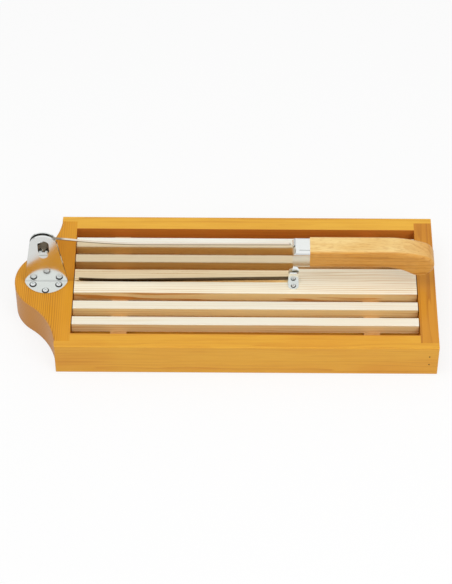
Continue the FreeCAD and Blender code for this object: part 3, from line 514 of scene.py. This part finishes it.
# domed heads with a cross recess, one on each point of the mesh that carries the modifier
def screwTree(material):
    tree = bpy.data.node_groups.new("raised_screws", "GeometryNodeTree")
    g = Graph(tree)
    tree.interface.new_socket("Geometry", in_out="INPUT", socket_type="NodeSocketGeometry")
    for label in screwInputs:
        tree.interface.new_socket(label, in_out="INPUT", socket_type="NodeSocketFloat")
    tree.interface.new_socket("Seed", in_out="INPUT", socket_type="NodeSocketInt")
    tree.interface.new_socket("Geometry", in_out="OUTPUT", socket_type="NodeSocketGeometry")
    given = g.node("NodeGroupInput", out="Geometry")
    radius, rise, shank, length, slotLong, slotWide, slotDeep = [given.other(n) for n in screwInputs]

    def moved(geometry, z):
        return g.node("GeometryNodeTransform", {}, {"Geometry": geometry, "Translation": g.triple(0, 0, z)})

    def block(x, y, z):
        return moved(g.node("GeometryNodeMeshCube", {}, {"Size": g.triple(x, y, z)}), rise)

    # the dome is the top of a ball that is cut level with the seat, by a block wider than the ball
    ball = (radius * radius + rise * rise) / (2 * rise)
    sphere = g.node("GeometryNodeMeshUVSphere", {}, {
        "Segments": screwMesh["segments"], "Rings": screwMesh["rings"], "Radius": ball})
    above = block(ball * 4, ball * 4, rise * 2)
    dome = g.node("GeometryNodeMeshBoolean", {"operation": "INTERSECT"},
                  {"Mesh 2": [moved(sphere, rise - ball), above]})

    # the recess is two crossed bars, half sunk into the top of the head
    bars = [block(slotLong, slotWide, slotDeep * 2), block(slotWide, slotLong, slotDeep * 2)]
    head = g.node("GeometryNodeMeshBoolean", {"operation": "DIFFERENCE"}, {"Mesh 1": dome, "Mesh 2": bars})
    stem = g.node("GeometryNodeMeshCylinder", {}, {
        "Vertices": screwMesh["shankSides"], "Radius": shank, "Depth": length})
    screw = g.node("GeometryNodeJoinGeometry", {}, {"Geometry": [head, moved(stem, -0.5 * length)]})

    # the way from the screw's axis, 1 at the head's edge, is kept for the painted shade on its rim
    away = g.length(g.vector("MULTIPLY", g.node("GeometryNodeInputPosition"), (1, 1, 0))) / radius
    screw = g.node("GeometryNodeStoreNamedAttribute", {"data_type": "FLOAT", "domain": "POINT"},
                   {"Geometry": screw, "Name": "rim", "Value": away})

    # sockets 2, 3 and 8 are the least turn, the most and the seed
    turn = g.node("FunctionNodeRandomValue", {"data_type": "FLOAT"},
                  {2: 0.0, 3: math.pi / 2, 8: given.other("Seed")}, out=1)
    placed = g.node("GeometryNodeInstanceOnPoints", {},
                    {"Points": given, "Instance": screw, "Rotation": g.triple(0, 0, turn)})
    solid = g.node("GeometryNodeRealizeInstances", {}, {"Geometry": placed})
    smooth = g.node("GeometryNodeSetShadeSmooth", {"domain": "FACE"},
                    {"Geometry": solid, "Shade Smooth": True})
    sharp = g.node("FunctionNodeCompare", {"data_type": "FLOAT", "operation": "GREATER_THAN"},
                   {0: g.node("GeometryNodeInputMeshEdgeAngle"), 1: screwMesh["crispAngle"]})
    crisp = g.node("GeometryNodeSetShadeSmooth", {"domain": "EDGE"},
                   {"Geometry": smooth, "Selection": sharp, "Shade Smooth": False})
    dressed = g.node("GeometryNodeSetMaterial", {}, {"Geometry": crisp, "Material": material})
    g.node("NodeGroupOutput", {}, {"Geometry": dressed})
    return tree


# set the screws on their seats and turn the result into one plain mesh
def setScrews(name, tree, spots, sizes):
    mesh = bpy.data.meshes.new(name + "_spots")
    mesh.from_pydata(spots, [], [])
    holder = addObject(name + "_spots", mesh)
    modifier = holder.modifiers.new("screws", "NODES")
    modifier.node_group = tree
    for item in tree.interface.items_tree:
        if item.in_out == "INPUT" and item.name in sizes:
            modifier[item.identifier] = sizes[item.name]
    seen = holder.evaluated_get(bpy.context.evaluated_depsgraph_get())
    baked = bpy.data.meshes.new_from_object(seen)
    bpy.data.objects.remove(holder)
    return addObject(name, baked)


# three in each half-round foot, placed from the pin: two beside the cheek and one at the far end
cheekScrew = {
    "across": 0.01435, "near": 0.0090, "far": 0.0178,
    "sizes": {"Head Radius": 0.0041, "Head Rise": 0.0023, "Shank Radius": 0.0018, "Shank Length": 0.018,
              "Recess Length": 0.0042, "Recess Width": 0.0009, "Recess Depth": 0.0011, "Seed": 4},
}
footHoles = ((-cheekScrew["across"], cheekScrew["near"]), (cheekScrew["across"], cheekScrew["near"]),
             (0.0, cheekScrew["far"]))
cheekSpots = [(pin[0] + x, y * side, cheekSeat) for side in (-1, 1) for x, y in footHoles]

# one in each bracket of the guide
guideScrew = {
    "sheet": 0.0012, "out": 0.0081,
    "sizes": {"Head Radius": 0.0029, "Head Rise": 0.0016, "Shank Radius": 0.0013, "Shank Length": 0.0102,
              "Recess Length": 0.0030, "Recess Width": 0.0007, "Recess Depth": 0.0008, "Seed": 9},
}
guideX = middle("front_guide")[0]
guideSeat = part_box("front_guide")[0][2] + guideScrew["sheet"]
guideSpots = [(guideX, guideScrew["out"] * side, guideSeat) for side in (-1, 1)]

# painted shade round the edge of each head, standing in for its dark reflection and contact shadow, by the
# distance that the tree stores on its points
rimShade = {"from": 0.62, "to": 0.78}


# painted shade: the rim mask for the heads' dark edges
def atRim(x, y, z):
    rim = x.graph.node("ShaderNodeAttribute", {"attribute_name": "rim"}, out="Fac")
    return rim.step(rimShade["from"], rimShade["to"])


tree = screwTree(steelMaterial("screw_steel", headLook, "z", atRim))
for name, spots, screw, node in (("cheekScrewHeads", cheekSpots, cheekScrew, "cheek_screws"),
                                 ("guideScrewHeads", guideSpots, guideScrew, "guide_screws")):
    piece = setScrews(name, tree, spots, screw["sizes"])
    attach(piece, "base")
    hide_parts(node)
    print(name, "set:", len(piece.data.polygons), "faces")


# which rays ask for a colour: the camera's own, and those that polished metal reflects
def rays(g):
    path = g.node("ShaderNodeLightPath")
    return path.other("Is Camera Ray"), path.other("Is Glossy Ray")


# the floor lies just under the slicer and glows, white for the camera and a little darker for the metal
paper = {"size": 6.0, "height": -0.0003, "colour": (0.86, 0.86, 0.86, 1), "glow": 0.80, "mirrorLoss": 0.23}


def floorMaterial():
    g = newMaterial("floor_paper")
    diffuse = g.node("ShaderNodeBsdfDiffuse", {}, {"Color": paper["colour"]})
    camera, glossy = rays(g)
    dimmed = 1 - paper["mirrorLoss"] * glossy
    seen = g.node("ShaderNodeCombineColor", {}, {0: dimmed, 1: dimmed, 2: dimmed})
    glow = g.node("ShaderNodeEmission", {}, {"Color": seen, "Strength": 1.0})
    share = (camera + glossy).held() * paper["glow"]
    mixed = g.node("ShaderNodeMixShader", {}, {0: share, 1: diffuse, 2: glow})
    g.node("ShaderNodeOutputMaterial", {}, {"Surface": mixed})
    return g.owner


bpy.ops.mesh.primitive_plane_add(size=paper["size"], location=(0, 0, paper["height"]))
floor = bpy.context.object
floor.name = "floor"
floor.data.materials.append(floorMaterial())

# polished metal sees a white tent with a dark seam overhead, behind the object, and dark walls low down,
# which begin and end by how far up or back a ray of length 1 points
tent = {
    "seamFrom": 0.845, "seamTo": 0.96, "seamBlur": 0.01, "seamBack": 0.05, "seamDark": 0.75,
    "wallsFull": 0.10, "wallsEnd": 0.26, "wallsDark": 0.55, "diffuse": 0.62, "horizon": 0.906,
}


def tentWorld():
    world = bpy.data.worlds.new("studio")
    world.use_nodes = True
    g = Graph(world.node_tree)
    back, up = g.axes(g.node("ShaderNodeTexCoord", out="Generated"))[1:]
    camera, glossy = rays(g)
    seam = up.step(tent["seamFrom"], tent["seamFrom"] + tent["seamBlur"])
    seam = seam * (1 - up.step(tent["seamTo"] - tent["seamBlur"], tent["seamTo"]))
    seam = seam * back.step(0.0, tent["seamBack"])
    walls = 1 - up.step(tent["wallsFull"], tent["wallsEnd"])
    bright = 1 - tent["seamDark"] * seam - tent["wallsDark"] * walls
    rest = 1 - (camera + glossy).held()
    strength = camera * tent["horizon"] + glossy * bright + rest * tent["diffuse"]
    background = g.node("ShaderNodeBackground", {}, {"Color": (1, 1, 1, 1), "Strength": strength})
    g.node("ShaderNodeOutputWorld", {}, {"Surface": background})
    return world


bpy.context.scene.world = tentWorld()


# put a lamp or the camera in its place, looking at the target
def aim(holder, place, target):
    holder.location = place
    holder.rotation_euler = (Vector(target) - Vector(place)).to_track_quat("-Z", "Y").to_euler()


# the metal doesn't reflect the lamps, or they would burn white on it
lamps = {
    "overhead": {"place": (-0.25, -0.30, 1.5), "size": 1.1, "power": 8.6},
    "front": {"place": (0.95, -1.1, 1.30), "size": 0.8, "power": 9.6},
}
for name, lamp in lamps.items():
    light = bpy.data.lights.new(name, "AREA")
    light.size = lamp["size"]
    light.energy = lamp["power"]
    holder = addObject(name, light)
    holder.visible_glossy = False
    aim(holder, lamp["place"], (0, 0, 0))

# a long lens from the front, about 49 degrees above the table
view = {"place": (0.0143, -1.6611, 1.9259), "target": (0.0013, 0.0, 0.0249), "lens": 138.7,
        "sensorHeight": 36.0, "nearest": 0.05, "furthest": 50.0}
eye = bpy.data.cameras.new("photo_view")
eye.sensor_fit = "VERTICAL"
eye.sensor_height = view["sensorHeight"]
eye.lens = view["lens"]
eye.clip_start = view["nearest"]
eye.clip_end = view["furthest"]
camera = addObject("photo_view", eye)
aim(camera, view["place"], view["target"])
bpy.context.scene.camera = camera
bpy.context.scene.view_settings.view_transform = "Standard"
print("camera and light set")
